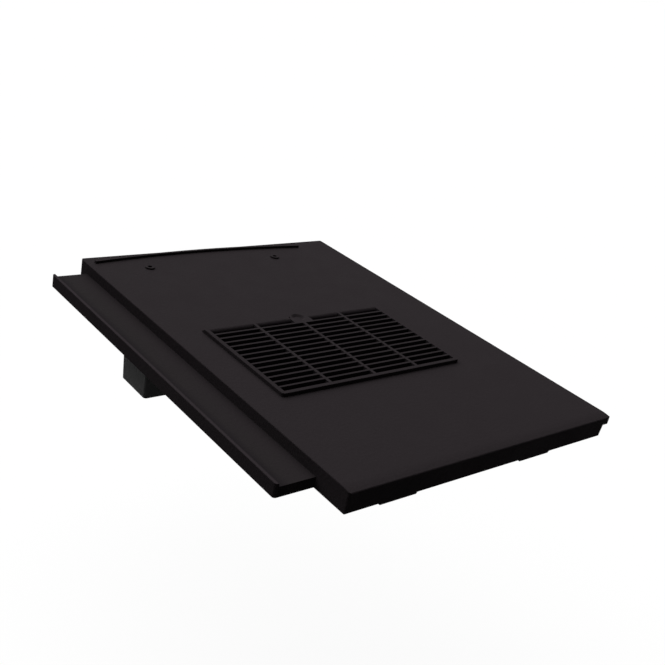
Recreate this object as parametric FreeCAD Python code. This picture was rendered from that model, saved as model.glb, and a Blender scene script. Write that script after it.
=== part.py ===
import FreeCAD, Part
import math
import os

V = FreeCAD.Vector

# A flat interlocking roof tile with a slatted vent, moulded as one shell, and the duct
# moulding that clips up under it. Sizes are in millimetres and angles in degrees.
# X runs across the roof, Y up the slope from tail to head, Z out of the roof. The origin
# is midway between the two nail holes, on the plate's top face.

# Plate and skirts
plate_width = 297.0        # across the roof, side lap included
plate_length = 420.0       # tail to head
wall = 3.0                 # plate and skirts
body_depth = 19.0          # top face to the bottom edge of the skirts
lap_width = 35.0           # strip that covers the neighbour's channel
lap_clearance = 1.5        # inner lap wall to the neighbour's channel
edge_round = 0.8           # moulded edges along the top face
corner_round = 2.5         # upright corners of the plate and channel

# Tail
nose_run = 10.0            # length over which the top face dips
nose_drop = 0.9
nose_round = 1.2
skirt_setback = 1.4        # lean of the tail skirt, top to bottom
foot_width = 36.0
foot_length = 7.0
foot_drop = 4.5            # below the skirt
foot_spacing = 152.5
tail_rib_count = 5         # stiffeners behind the tail skirt

# Overlock edge, on the right
lip_wall = 3.5
lip_depth = 8.0
lip_return = 7.5           # shallow end of the tail skirt, beside the edge

# Underlock channel, on the left
channel_start = 36.0       # tail to the channel
channel_stop = 14.5        # channel to head
channel_floor = 10.0       # below the top face
channel_lip_width = 3.0
channel_lip_height = 2.7   # above the channel's floor
channel_lip_round = 0.4    # its crest
channel_rib_count = 6      # stiffeners under the channel

# Head: weather bar, nail holes and batten nibs
bar_inset = 8.5            # plate's side to the end of the bar
bar_end = 405.0            # tail to the front of the bar at its ends
bar_bow = 7.5              # its middle bows this far towards the head
bar_width = 3.0
bar_height = 2.5
nail_from_tail = 385.0
nail_spacing = 150.5
nail_hole = 4.5
nail_boss = 9.5
nail_boss_height = 1.5
nib_width = 40.0
nib_depth = 14.0           # below the skirts
batten_face = 403.0        # tail to the nibs' bearing face

# Grille
columns = 4
rows = 14
slot_length = 45.7
slot_gap = 5.83
slat = 2.2
slat_taper = 0.3           # each side of a slat, top to bottom
bar_between = 2.9          # between two columns
rail = 3.8                 # frame round the slots
grille_from_tail = 124.1
grille_height = 3.4        # above the top face
grille_depth = 6.0         # below the top face
grille_corner = 3.0
grille_edge = 0.25         # bevel round the top of the frame and pad
back_ramp = 4.5            # slope behind the back rail, down to the plate
back_round = 3.4           # front of the back rail, over the last slots
pad_diameter = 17.0        # round gate pad on the grille's back rail
pad_offset = 1.6           # right of the middle
pad_land = 21.0            # between the last slots, in front of the pad
pad_rim = 2.0              # round the pad's dish
pad_dish = 1.8             # depth of the dish
pad_floor = 8.0            # across the dish's flat floor

# Duct moulding: a sloping tray with a flat spigot at its upper end
duct_margin = 18.0         # plate's side to the outside of the spigot's mouth
duct_length = 45.8
duct_drop = 96.5           # top face to the spigot's mouth
duct_from_tail = 303.9     # tail to the spigot's front, at its mouth
duct_wall = 2.5
duct_draft = 2.5
duct_corner = 3.0          # upright outer corners of the spigot
tray_start = 70.0          # tail to the tray's drip edge
tray_slope = 5.0           # the floor falls away from the plate towards the spigot
weir_height = 10.0         # keeps rain in the tray out of the spigot
seat_clearance = 0.3       # tray to tile

# Collar under the plate that takes the duct moulding
collar_wall = 2.5
collar_depth = 11.0        # below the plate
baffle_depth = 12.0        # rain baffle in front of the grille, below the plate
baffle_front = 112.0       # tail to the baffle
clip_places = (130.0, 212.0, 294.0)   # tail to the middle of each clip
clip_width = 14.0
clip_height = 3.0
clip_reach = 1.8
rib_wall = 2.0
rib_depth = 7.0            # shallow stiffeners, below the plate

# Places worked out from the sizes above
half_cover = (plate_width - lap_width) / 2
left = -half_cover
right = left + plate_width
tail = -nail_from_tail
head = tail + plate_length
bottom = -body_depth
under = -wall
lap_face = half_cover - lap_clearance          # outer face of the inner lap wall
skirt_end = right - lip_return
bar_half_span = half_cover - bar_inset
duct_width = 2 * (half_cover - duct_margin)
draft = math.tan(math.radians(duct_draft))
fall = math.tan(math.radians(tray_slope))
mouth = -duct_drop
tray_top = under - seat_clearance
overrun = 20.0                                 # cutters pass this far through a face


def box(x0, x1, y0, y1, z0, z1):
    """Block between two opposite corners."""
    return Part.makeBox(x1 - x0, y1 - y0, z1 - z0, V(x0, y0, z0))


def prism_yz(points, x0, x1):
    """Outline of (y, z) points, carried across the roof from x0 to x1."""
    corners = [V(x0, y, z) for y, z in points]
    outline = Part.makePolygon(corners + corners[:1])
    return Part.Face(outline).extrude(V(x1 - x0, 0, 0))


def prism_xz(points, y0, y1):
    """Outline of (x, z) points, carried up the slope from y0 to y1."""
    corners = [V(x, y0, z) for x, z in points]
    outline = Part.makePolygon(corners + corners[:1])
    return Part.Face(outline).extrude(V(0, y1 - y0, 0))


def edges_along(solid, axis, where):
    """Edges of a solid that run along one axis, draft aside, and pass the test on their middle."""
    found = []
    for edge in solid.Edges:
        run = edge.Vertexes[-1].Point - edge.Vertexes[0].Point
        if run.Length > 1e-6 and abs(run.normalize().dot(axis)) > 0.99 and where(edge.CenterOfMass):
            found.append(edge)
    return found


def spread(start, stop, count):
    """Evenly spaced places strictly between two ends."""
    step = (stop - start) / (count + 1)
    return [start + step * (i + 1) for i in range(count)]


def nosed_slab(x0, x1, depth):
    """Plate with its dipped, rounded nose, and a tail skirt of the given depth."""
    dip = V(x0, tail + nose_round, -nose_drop)
    face_top = V(x0, tail, -nose_drop - nose_round)
    knee = nose_round * (1 - math.sqrt(0.5))
    lean = skirt_setback * depth / body_depth
    start = V(x0, tail + nose_run, 0)
    dip_mid = V(x0, tail + (nose_run + nose_round) / 2, -nose_drop / 4)
    lines = [
        Part.makeLine(V(x0, head, 0), start),
        Part.Arc(start, dip_mid, dip).toShape(),
        Part.Arc(dip, V(x0, tail + knee, -nose_drop - knee), face_top).toShape(),
        Part.makeLine(face_top, V(x0, tail + lean, -depth)),
        Part.makeLine(V(x0, tail + lean, -depth), V(x0, tail + lean + wall, -depth)),
        Part.makeLine(V(x0, tail + lean + wall, -depth), V(x0, tail + wall, under - nose_drop)),
        Part.makeLine(V(x0, tail + wall, under - nose_drop), V(x0, tail + nose_run, under)),
        Part.makeLine(V(x0, tail + nose_run, under), V(x0, head, under)),
        Part.makeLine(V(x0, head, under), V(x0, head, 0)),
    ]
    return Part.Face(Part.Wire(lines)).extrude(V(x1 - x0, 0, 0))


def corner_waste(x, y, inward_x, inward_y):
    """What lies outside the rounding of one upright corner. The signs point into the plate."""
    height = body_depth + 2 * overrun
    middle = V(x + inward_x * corner_round, y + inward_y * corner_round, bottom - overrun)
    x0, x1 = sorted((x - inward_x * wall, middle.x))
    y0, y1 = sorted((y - inward_y * wall, middle.y))
    block = box(x0, x1, y0, y1, middle.z, middle.z + height)
    return block.cut(Part.makeCylinder(corner_round, height, middle))


def plate_shell():
    """Plate, tail skirt, side walls, head wall and the overlock edge."""
    inside = under + wall / 2                   # walls are rooted in the plate
    main = nosed_slab(left, skirt_end, body_depth)
    edge = nosed_slab(skirt_end, right, lip_depth)
    slab = main.fuse(edge).removeSplitter()
    sides = edges_along(slab, V(0, 1, 0), lambda c: abs(c.z) < 1e-3 and (c.x < left + 1 or c.x > right - 1))
    slab = slab.makeFillet(edge_round, sides)
    tail_in = tail + skirt_setback + wall / 2
    walls = [
        box(left, left + wall, tail_in, head, bottom, inside),
        box(lap_face - wall, lap_face, tail_in, head, bottom, inside),
        box(left, lap_face, head - wall, head, bottom, inside),
        box(right - lip_wall, right, tail_in, head, -lip_depth, inside),
    ]
    corners = [(left, tail, 1, 1), (left, head, 1, -1), (right, tail, -1, 1), (right, head, -1, -1)]
    return slab.multiFuse(walls).cut(Part.makeCompound([corner_waste(*corner) for corner in corners]))


def tail_feet():
    """Two feet behind the tail skirt, which hold the tail off the course below."""
    feet = []
    front = tail + skirt_setback + wall
    for side in (-1, 1):
        middle = side * foot_spacing / 2
        outline = [
            (front - wall / 2, bottom + foot_drop),
            (front - wall / 2, bottom),
            (front, bottom - foot_drop),
            (front + foot_length - foot_drop / 2, bottom - foot_drop),
            (front + foot_length, bottom + foot_drop),
        ]
        feet.append(prism_yz(outline, middle - foot_width / 2, middle + foot_width / 2))
    return feet


def tail_ribs():
    """Stiffeners from the tail skirt back along the underside."""
    stop = tail + tray_start - collar_wall
    ribs = []
    for x in spread(left, lap_face, tail_rib_count):
        ribs.append(prism_yz([
            (tail + skirt_setback + wall / 2, under + wall / 2),
            (tail + skirt_setback + wall / 2, bottom + wall),
            (stop, under - rib_depth / 2),
            (stop, under + wall / 2),
        ], x - rib_wall / 2, x + rib_wall / 2))
    return ribs


def underlock_channel():
    """Side channel that runs under the neighbour, with an upstand along its outer edge."""
    outer = left - lap_width
    y0 = tail + channel_start
    y1 = head - channel_stop
    floor = box(outer, left + wall, y0, y1, -channel_floor - wall, -channel_floor)
    lip_top = -channel_floor + channel_lip_height
    lip = box(outer, outer + channel_lip_width, y0, y1, bottom, lip_top)
    crests = edges_along(lip, V(0, 1, 0), lambda c: c.z > lip_top - 1e-3)
    lip = lip.makeFillet(channel_lip_round, crests)
    ends = [box(outer, left + wall, y, y + wall, bottom, -channel_floor) for y in (y0, y1 - wall)]
    channel = floor.multiFuse([lip] + ends)
    corners = [corner_waste(outer, y0, 1, 1), corner_waste(outer, y1, 1, -1)]
    channel = channel.cut(Part.makeCompound(corners))
    inside = outer + channel_lip_width / 2
    ribs = []
    for y in spread(y0, y1, channel_rib_count):
        ribs.append(box(inside, left + wall, y, y + rib_wall, bottom + wall, -channel_floor - wall / 2))
    return [channel] + ribs


def weather_bar():
    """Raised bar across the head, bowed towards the head in its middle."""
    radius = (bar_half_span ** 2 + bar_bow ** 2) / (2 * bar_bow)
    crown = tail + bar_end + bar_bow
    middle = V(0, crown - radius, under / 2)
    half = math.degrees(math.asin(bar_half_span / radius))
    height = bar_height - under / 2
    outer = Part.makeCylinder(radius + bar_width, height, middle, V(0, 0, 1), 2 * half)
    inner = Part.makeCylinder(radius, height, middle, V(0, 0, 1), 2 * half)
    bar = outer.cut(inner)
    bar.rotate(middle, V(0, 0, 1), 90 - half)
    return bar


def nail_places():
    """Middles of the two nail holes."""
    return [V(side * nail_spacing / 2, 0, 0) for side in (-1, 1)]


def nail_bosses():
    """Bosses that carry the nails from the top face down to the batten."""
    bosses = []
    for place in nail_places():
        foot = V(place.x, place.y, bottom)
        bosses.append(Part.makeCylinder(nail_boss / 2, nail_boss_height - bottom, foot))
    tie = box(left + wall / 2, lap_face - wall / 2, -rib_wall / 2, rib_wall / 2, under - rib_depth, under / 2)
    return bosses + [tie]


def nail_holes():
    """Holes right through the bosses."""
    length = body_depth + nail_boss_height + 2 * overrun
    return [Part.makeCylinder(nail_hole / 2, length, V(p.x, p.y, bottom - overrun)) for p in nail_places()]


def batten_nibs():
    """Two hooks under the head, each a bearing wall with a gusset at either end."""
    nibs = []
    face = tail + batten_face
    low = bottom - nib_depth
    for place in nail_places():
        x0 = place.x - nib_width / 2
        x1 = place.x + nib_width / 2
        nibs.append(box(x0, x1, face, face + wall, low, under / 2))
        gusset = [
            (face + wall / 2, under / 2),
            (face + wall / 2, low),
            (face + 2 * wall, low),
            (head - wall / 2, bottom),
            (head - wall / 2, under / 2),
        ]
        nibs.append(prism_yz(gusset, x0, x0 + wall))
        nibs.append(prism_yz(gusset, x1 - wall, x1))
    return nibs


def grille_frame():
    """Raised block that the slots are cut through, with a slope behind its back rail."""
    half = (columns * slot_length + (columns - 1) * bar_between) / 2 + rail
    length = rows * slot_gap + (rows - 1) * slat + 2 * rail
    y0 = tail + grille_from_tail
    y1 = y0 + length
    block = prism_yz([
        (y0, -grille_depth),
        (y0, grille_height),
        (y1, grille_height),
        (y1 + back_ramp, 0),
        (y1 + back_ramp, under / 2),
        (y1, under / 2),
        (y1, -grille_depth),
    ], -half, half)
    fronts = edges_along(block, V(0, 0, 1), lambda c: c.y < y0 + 1)
    block = block.makeFillet(grille_corner, fronts)
    rim = []
    for edge in block.Edges:
        if edge.BoundBox.ZMin > grille_height - 1e-3 and edge.BoundBox.YMin < y1 - 1:
            rim.append(edge)
    return block.makeChamfer(grille_edge, rim)


def gate_middle(z):
    """Middle of the gate pad at a height, on the back edge of the grille's back rail."""
    return V(pad_offset, tail + grille_from_tail + rows * slot_gap + (rows - 1) * slat + 2 * rail, z)


def gate_pad():
    """Round pad on the grille's back rail, and the land in front of it that fills the last row."""
    base = gate_middle(under / 2)
    pad = Part.makeCylinder(pad_diameter / 2, grille_height - base.z, base)
    rim = [edge for edge in pad.Edges if edge.BoundBox.ZMin > grille_height - 1e-3]
    pad = pad.makeChamfer(grille_edge, rim)
    front = base.y - rail - slot_gap - slat / 2
    half = pad_land / 2
    return pad.fuse(box(base.x - half, base.x + half, front, base.y, base.z, grille_height))


def gate_dish():
    """Cone that cuts the dish in the pad, where the gate's mark stays below the top."""
    floor_radius = pad_floor / 2
    mouth_radius = pad_diameter / 2 - pad_rim
    place = gate_middle(grille_height - pad_dish)
    return Part.makeCone(floor_radius, 2 * mouth_radius - floor_radius, 2 * pad_dish, place)


def rail_waste(x0, y0):
    """What lies outside the rounding of the back rail's front, over one slot that ends at y0."""
    middle = V(x0, y0 + back_round, grille_height - back_round)
    block = box(x0, x0 + slot_length, y0, middle.y, middle.z, grille_height + slat)
    return block.cut(Part.makeCylinder(back_round, slot_length, middle, V(1, 0, 0)))


def grille_slots():
    """Slots between the slats, which are thinner at the bottom."""
    first_x = -(columns * slot_length + (columns - 1) * bar_between) / 2
    first_y = tail + grille_from_tail + rail
    slots = []
    for column in range(columns):
        x0 = first_x + column * (slot_length + bar_between)
        for row in range(rows):
            y0 = first_y + row * (slot_gap + slat)
            y1 = y0 + slot_gap
            slot = prism_yz([
                (y0, grille_height + slat),
                (y0, grille_height),
                (y0 - slat_taper, -grille_depth),
                (y0 - slat_taper, -grille_depth - slat),
                (y1 + slat_taper, -grille_depth - slat),
                (y1 + slat_taper, -grille_depth),
                (y1, grille_height),
                (y1, grille_height + slat),
            ], x0, x0 + slot_length)
            if row == rows - 1:
                slot = slot.fuse(rail_waste(x0, y1))
            slots.append(slot)
    return slots


def duct_half(z, inset=0.0):
    """Half the duct moulding's width at a height, measured to a face set in from its outside."""
    return duct_width / 2 + (z - mouth) * draft - inset


def duct_back(z, inset=0.0):
    """Place of the duct moulding's back wall at a height."""
    return tail + duct_from_tail + duct_length + (z - mouth) * draft - inset


def duct_front(z, inset=0.0):
    """Place of the spigot's front wall at a height."""
    return tail + duct_from_tail - (z - mouth) * draft + inset


def tray_floor(y, lift=0.0):
    """Height of the tray's underside at a place up the slope."""
    return bottom - (y - tail - tray_start) * fall + lift


def side_wedge(z0, z1, inset, y0, y1):
    """Block between the duct moulding's two leaning sides."""
    return prism_xz([
        (-duct_half(z0, inset), z0),
        (duct_half(z0, inset), z0),
        (duct_half(z1, inset), z1),
        (-duct_half(z1, inset), z1),
    ], y0, y1)


def spigot_root(inset):
    """Where the tray's floor meets a face of the spigot's front wall."""
    flat = duct_front(bottom, inset) - tail - tray_start
    y = tail + tray_start + flat / (1 - draft * fall)
    return y, tray_floor(y)


def collar():
    """Walls under the plate that the duct moulding pushes up into, and the rain baffle."""
    low = under - collar_depth
    reach = duct_half(under) + seat_clearance + collar_wall
    y0 = tail + tray_start - seat_clearance - collar_wall
    y1 = duct_back(under) + seat_clearance + collar_wall
    frame = box(-reach, reach, y0, y1, low, under / 2)
    middle = side_wedge(low - overrun, under + overrun, -seat_clearance, y0 - overrun, y1)
    back = prism_yz([
        (y0 - overrun, low - overrun),
        (duct_back(low - overrun) + seat_clearance, low - overrun),
        (duct_back(under + overrun) + seat_clearance, under + overrun),
        (y0 - overrun, under + overrun),
    ], -reach - overrun, reach + overrun)
    frame = frame.cut(middle.common(back))
    half = duct_half(under - baffle_depth, duct_wall) - seat_clearance
    baffle_y = tail + baffle_front
    baffle = box(-half, half, baffle_y, baffle_y + rib_wall, under - baffle_depth, under / 2)
    ties = []
    left_gap = (left + wall / 2, -reach + collar_wall / 2)
    right_gap = (reach - collar_wall / 2, lap_face - wall / 2)
    for y in spread(y0, y1, len(clip_places) + 1):
        for x0, x1 in (left_gap, right_gap):
            ties.append(box(x0, x1, y, y + rib_wall, under - rib_depth, under / 2))
    return [frame, baffle] + ties


def clip_windows():
    """Windows in the collar's sides for the clips."""
    middle = under - collar_depth / 2
    half = clip_height / 2 + seat_clearance
    reach = duct_half(under) + seat_clearance + collar_wall
    windows = []
    for place in clip_places:
        y0 = tail + place - clip_width / 2 - seat_clearance
        y1 = tail + place + clip_width / 2 + seat_clearance
        for side in (-1, 1):
            x0 = side * duct_half(middle, duct_wall)
            x1 = side * (reach + seat_clearance)
            windows.append(box(min(x0, x1), max(x0, x1), y0, y1, middle - half, middle + half))
    return windows


def tile_body():
    """The tile: one moulded shell with its vent grille."""
    shell = plate_shell()
    shell = shell.multiFuse(tail_feet() + tail_ribs() + underlock_channel() + [weather_bar()])
    shell = shell.multiFuse(collar() + nail_bosses() + batten_nibs())
    shell = shell.cut(Part.makeCompound(clip_windows()))
    grille = grille_frame().cut(Part.makeCompound(grille_slots())).fuse(gate_pad()).cut(gate_dish())
    well = Part.makeCompound(grille_slots()).cut(gate_pad())
    shell = shell.cut(well).fuse(grille)
    shell = shell.cut(Part.makeCompound(nail_holes()))
    return shell.removeSplitter()


def duct_tray():
    """The duct moulding: tray, spigot and weir, with clips along its sides."""
    start = tail + tray_start
    stop = duct_back(tray_top) + overrun
    root_y, root_z = spigot_root(0)
    outside = prism_yz([
        (start, tray_top),
        (start, bottom),
        (root_y, root_z),
        (duct_front(mouth), mouth),
        (duct_back(mouth), mouth),
        (duct_back(tray_top), tray_top),
    ], -duct_half(tray_top) - overrun, duct_half(tray_top) + overrun)
    solid = outside.common(side_wedge(mouth - overrun, tray_top + overrun, 0, start - overrun, stop))
    uprights = edges_along(solid, V(0, 0, 1), lambda c: c.z < root_z)
    solid = solid.makeFillet(duct_corner, uprights)

    lift = duct_wall / math.cos(math.radians(tray_slope))
    weir_top = root_z + lift + weir_height
    weir_face = duct_front(weir_top)
    inside = prism_yz([
        (start - overrun, tray_top + overrun),
        (start - overrun, tray_floor(start - overrun, lift)),
        (root_y, tray_floor(root_y, lift)),
        (weir_face, weir_top),
        (duct_front(weir_top, duct_wall), weir_top),
        (duct_front(mouth - overrun, duct_wall), mouth - overrun),
        (duct_back(mouth - overrun, duct_wall), mouth - overrun),
        (duct_back(tray_top + overrun, duct_wall), tray_top + overrun),
    ], -duct_half(tray_top) - overrun, duct_half(tray_top) + overrun)
    hollow = side_wedge(mouth - 2 * overrun, tray_top + 2 * overrun, duct_wall, start - 2 * overrun, stop)
    solid = solid.cut(inside.common(hollow))

    middle = under - collar_depth / 2
    low = middle - clip_height / 2
    high = middle + clip_height / 2
    clips = []
    for place in clip_places:
        y0 = tail + place - clip_width / 2
        clips.append(prism_xz([
            (duct_half(low, duct_wall / 2), low),
            (duct_half(low) + clip_reach, low),
            (duct_half(high) + seat_clearance, high),
            (duct_half(high, duct_wall / 2), high),
        ], y0, y0 + clip_width))
    mirrored = [clip.mirror(V(0, 0, 0), V(1, 0, 0)) for clip in clips]
    return solid.multiFuse(clips + mirrored).removeSplitter()


os.makedirs("parts", exist_ok=True)
for name, shape in (("tile_body", tile_body()), ("duct_tray", duct_tray())):
    print(name, "solids", len(shape.Solids), "valid", shape.isValid(), "cm3", round(shape.Volume / 1000, 1))
    shape.Solids[0].exportStep("parts/%s.step" % name)
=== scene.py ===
import math

import bpy
from mathutils import Matrix, Vector


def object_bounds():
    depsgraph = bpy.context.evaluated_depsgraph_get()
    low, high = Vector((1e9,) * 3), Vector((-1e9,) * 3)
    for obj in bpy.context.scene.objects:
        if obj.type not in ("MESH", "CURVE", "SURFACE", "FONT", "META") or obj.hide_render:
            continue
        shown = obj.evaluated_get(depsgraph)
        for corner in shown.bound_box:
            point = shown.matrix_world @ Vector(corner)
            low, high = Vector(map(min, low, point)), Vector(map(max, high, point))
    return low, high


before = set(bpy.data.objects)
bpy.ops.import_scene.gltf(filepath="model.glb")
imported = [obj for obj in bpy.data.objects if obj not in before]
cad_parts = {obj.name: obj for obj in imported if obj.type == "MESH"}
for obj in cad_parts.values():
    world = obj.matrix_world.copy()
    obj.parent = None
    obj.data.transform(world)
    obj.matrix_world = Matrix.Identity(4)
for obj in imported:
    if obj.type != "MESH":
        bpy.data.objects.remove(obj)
cad_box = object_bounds()
scene = bpy.context.scene
scene.view_settings.view_transform = "Standard"

# Tile
# One shell of carbon-black polypropylene, injection moulded in a spark-eroded tool. The tool leaves
# a fine matte grain on every face. It breaks up nearly all gloss, so the black looks deep and dry.
TILE_COLOUR = "#2a2628"
TILE_SPECULAR = 0.003
TILE_ROUGHNESS = 0.62
POLYPROPYLENE_IOR = 1.49
GRAIN_MM = 3.0             # spark grain is nearer 0.2 mm, and is drawn coarser so that it shows
GRAIN_DEPTH_MM = 0.3
GRAIN_DETAIL = 3.0
CLOUD_MM = 28.0            # soft uneven sheen, as wide as the flow marks in a large moulding
CLOUD_DETAIL = 2.0
CLOUD_RANGE = (0.3, 0.7)   # the noise lies mostly between these
CLOUD_SPREAD = 0.04        # roughness to either side of the plastic's own
MM_PER_METRE = 1000


def linear(colour):
    """sRGB hex to a linear RGBA tuple, by the sRGB transfer curve."""
    channels = [int(colour[i:i + 2], 16) / 255 for i in (1, 3, 5)]
    return tuple(c / 12.92 if c <= 0.04045 else ((c + 0.055) / 1.055) ** 2.4
                 for c in channels) + (1.0,)


def add(tree, kind, links=(), **settings):
    """Node of one kind, with its settings and links.

    A setting names a property or an input, and each link joins a socket to an input.
    """
    node = tree.nodes.new(kind)
    for name, value in settings.items():
        if hasattr(node, name):
            setattr(node, name, value)
        else:
            node.inputs[name.replace("_", " ")].default_value = value
    for socket, name in links:
        tree.links.new(socket, node.inputs[name])
    return node


def moulded_plastic(name, colour, specular, roughness):
    """Matte moulded thermoplastic: spark grain as bump, and slow clouds in its roughness."""
    material = bpy.data.materials.new(name)
    material.use_nodes = True
    tree = material.node_tree
    tree.nodes.clear()
    place = add(tree, "ShaderNodeTexCoord").outputs["Object"]
    grain = add(tree, "ShaderNodeTexNoise", [(place, "Vector")],
                Scale=MM_PER_METRE / GRAIN_MM, Detail=GRAIN_DETAIL)
    clouds = add(tree, "ShaderNodeTexNoise", [(place, "Vector")],
                 Scale=MM_PER_METRE / CLOUD_MM, Detail=CLOUD_DETAIL)
    sheen = add(tree, "ShaderNodeMapRange", [(clouds.outputs["Fac"], "Value")],
                From_Min=CLOUD_RANGE[0], From_Max=CLOUD_RANGE[1],
                To_Min=roughness - CLOUD_SPREAD, To_Max=roughness + CLOUD_SPREAD)
    bump = add(tree, "ShaderNodeBump", [(grain.outputs["Fac"], "Height")],
               Strength=1.0, Distance=GRAIN_DEPTH_MM / MM_PER_METRE)
    surface = add(tree, "ShaderNodeBsdfPrincipled",
                  [(sheen.outputs["Result"], "Roughness"), (bump.outputs["Normal"], "Normal")],
                  Base_Color=linear(colour), IOR=POLYPROPYLENE_IOR, Specular_IOR_Level=specular)
    add(tree, "ShaderNodeOutputMaterial", [(surface.outputs["BSDF"], "Surface")])
    return material


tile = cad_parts["tile_body"]
tile_plastic = moulded_plastic("black_polypropylene", TILE_COLOUR, TILE_SPECULAR, TILE_ROUGHNESS)
tile.data.materials.clear()
tile.data.materials.append(tile_plastic)

# Upstand
# A rib along the channel's outer edge, moulded in one with the tile, that holds driven rain back.
# Its crest carries a painted highlight, and the channel floor behind it a painted shade. They are
# paler and darker than the light makes them here, and both are drawn in the tile's colour.
CREST_HIGHLIGHT_COLOUR = "#312c2f"
FOOT_SHADE_COLOUR = "#211e20"
CHANNEL_SHADE_COLOUR = "#272425"
UPSTAND_PAINTED_LIGHT = (          # mm across the roof, and the colour there
    (-166.0, TILE_COLOUR), (-164.7, CREST_HIGHLIGHT_COLOUR), (-163.3, TILE_COLOUR), (-162.8, FOOT_SHADE_COLOUR),
    (-159.5, FOOT_SHADE_COLOUR), (-154.0, CHANNEL_SHADE_COLOUR), (-131.5, TILE_COLOUR))

# The painted highlight on the crest and the painted shade behind it follow x across the channel,
# through a colour ramp into the tile's base colour.
tile_tree = tile_plastic.node_tree
tile_place = add(tile_tree, "ShaderNodeTexCoord").outputs["Object"]
across = add(tile_tree, "ShaderNodeSeparateXYZ", [(tile_place, "Vector")]).outputs["X"]
outer, inner = UPSTAND_PAINTED_LIGHT[0][0], UPSTAND_PAINTED_LIGHT[-1][0]
reach = add(tile_tree, "ShaderNodeMapRange", [(across, "Value")],
            From_Min=outer / MM_PER_METRE, From_Max=inner / MM_PER_METRE)
painted_light = add(tile_tree, "ShaderNodeValToRGB", [(reach.outputs["Result"], "Fac")])
stops = painted_light.color_ramp.elements  # a new ramp has one stop at each end
for at, colour in UPSTAND_PAINTED_LIGHT[1:-1]:
    stops.new((at - outer) / (inner - outer)).color = linear(colour)
stops[0].color = linear(UPSTAND_PAINTED_LIGHT[0][1])
stops[-1].color = linear(UPSTAND_PAINTED_LIGHT[-1][1])
tile_surface = tile_tree.nodes["Principled BSDF"]
tile_tree.links.new(painted_light.outputs["Color"], tile_surface.inputs["Base Color"])

# Duct
# A second moulding in dark grey polypropylene, clipped up into the collar under the plate. Its
# spigot has the same spark grain as the tile, in a lighter and more neutral grey.
DUCT_COLOUR = "#5e5e5e"
DUCT_SPECULAR = 0.01
DUCT_ROUGHNESS = 0.55

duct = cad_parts["duct_tray"]
duct_plastic = moulded_plastic("grey_polypropylene", DUCT_COLOUR, DUCT_SPECULAR, DUCT_ROUGHNESS)
duct.data.materials.clear()
duct.data.materials.append(duct_plastic)

# Floor and background
# A matte floor well below the duct. It is lifted to white where it is seen or mirrored, and it
# still takes the object's shadow. The world is white in the same way, and elsewhere a dim fill.
FLOOR_COLOUR = "#4d4d4d"
FLOOR_LIFT = 0.93
FLOOR_GAP = 0.2            # metres below the duct's mouth
FLOOR_HALF = 20.0          # metres from its middle to each side
SKY_COLOUR = "#ffffff"
FILL = 0.05


def shown_ray(tree):
    """1 on a ray that the camera, a mirror or glass sees, and 0 on one that only carries light."""
    path = add(tree, "ShaderNodeLightPath").outputs
    seen = add(tree, "ShaderNodeMath", [(path["Is Camera Ray"], 0), (path["Is Glossy Ray"], 1)],
               operation="MAXIMUM").outputs["Value"]
    either = add(tree, "ShaderNodeMath", [(seen, 0), (path["Is Transmission Ray"], 1)],
                 operation="MAXIMUM")
    return either.outputs["Value"]


level = cad_box[0].z - FLOOR_GAP
corners = [(-FLOOR_HALF, -FLOOR_HALF, level), (FLOOR_HALF, -FLOOR_HALF, level),
           (FLOOR_HALF, FLOOR_HALF, level), (-FLOOR_HALF, FLOOR_HALF, level)]
floor_mesh = bpy.data.meshes.new("floor")
floor_mesh.from_pydata(corners, [], [(0, 1, 2, 3)])
floor = bpy.data.objects.new("floor", floor_mesh)
scene.collection.objects.link(floor)
floor_material = bpy.data.materials.new("pale_floor")
floor_material.use_nodes = True
floor_tree = floor_material.node_tree
floor_tree.nodes.clear()
floor_power = add(floor_tree, "ShaderNodeMapRange", [(shown_ray(floor_tree), "Value")],
                  To_Max=FLOOR_LIFT)
floor_lift = add(floor_tree, "ShaderNodeEmission", [(floor_power.outputs["Result"], "Strength")])
floor_paint = add(floor_tree, "ShaderNodeBsdfDiffuse", Color=linear(FLOOR_COLOUR))
floor_sum = add(floor_tree, "ShaderNodeAddShader",
                [(floor_paint.outputs["BSDF"], 0), (floor_lift.outputs["Emission"], 1)])
add(floor_tree, "ShaderNodeOutputMaterial", [(floor_sum.outputs["Shader"], "Surface")])
floor_mesh.materials.append(floor_material)

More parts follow.
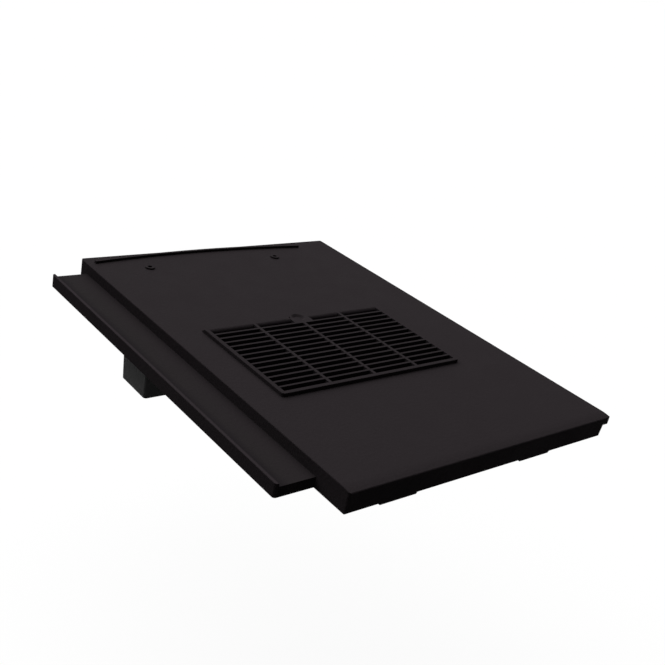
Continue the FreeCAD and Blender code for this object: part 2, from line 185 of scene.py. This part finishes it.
world = bpy.data.worlds.new("studio")
scene.world = world
world.use_nodes = True
world_tree = world.node_tree
world_tree.nodes.clear()
strength = add(world_tree, "ShaderNodeMapRange", [(shown_ray(world_tree), "Value")],
               To_Min=FILL, To_Max=1.0)
sky = add(world_tree, "ShaderNodeBackground", [(strength.outputs["Result"], "Strength")],
          Color=linear(SKY_COLOUR))
add(world_tree, "ShaderNodeOutputWorld", [(sky.outputs["Background"], "Surface")])

# Lamp
# One broad overhead light from behind the head, even over the whole floor. It leaves the tail in
# shade, and its width lets it reach under the left edge to the side of the duct.
TOP_FROM = Vector((0.0, 0.8, 1.0))
TOP_ANGLE = 90.0           # degrees that it spans in the sky
TOP_LEVEL = 3.8

top_light = bpy.data.lights.new("top_light", "SUN")
top_light.angle = math.radians(TOP_ANGLE)
top_light.energy = TOP_LEVEL
lamp = bpy.data.objects.new("top_light", top_light)
lamp.location = TOP_FROM
lamp.rotation_euler = (-TOP_FROM).to_track_quat("-Z", "Y").to_euler()
scene.collection.objects.link(lamp)

# Camera
# A short telephoto from the front left, a little above the tile and rolled against it. Its place,
# turn and focal length are those of the camera fitted to the edges that the photo shows.
CAMERA_PLACE = Vector((-0.52586, -0.75955, 0.3504))
CAMERA_RIGHT = Vector((0.7722, -0.60734, 0.18666))
CAMERA_UP = Vector((0.11874, 0.42654, 0.89664))
FOCAL_PIXELS = 950.77
IMAGE_PIXELS = 665
SENSOR_MM = 36.0
FAR_CLIP = 50.0            # metres, past the floor's far corner

camera_data = bpy.data.cameras.new("camera")
camera_data.sensor_width = SENSOR_MM
camera_data.lens = FOCAL_PIXELS * SENSOR_MM / IMAGE_PIXELS
camera_data.clip_end = FAR_CLIP
camera = bpy.data.objects.new("camera", camera_data)
right = CAMERA_RIGHT.normalized()
back = right.cross(CAMERA_UP).normalized()
up = back.cross(right)
turn = Matrix((right, up, back)).transposed().to_4x4()
camera.matrix_world = Matrix.Translation(CAMERA_PLACE) @ turn
scene.collection.objects.link(camera)
scene.camera = camera
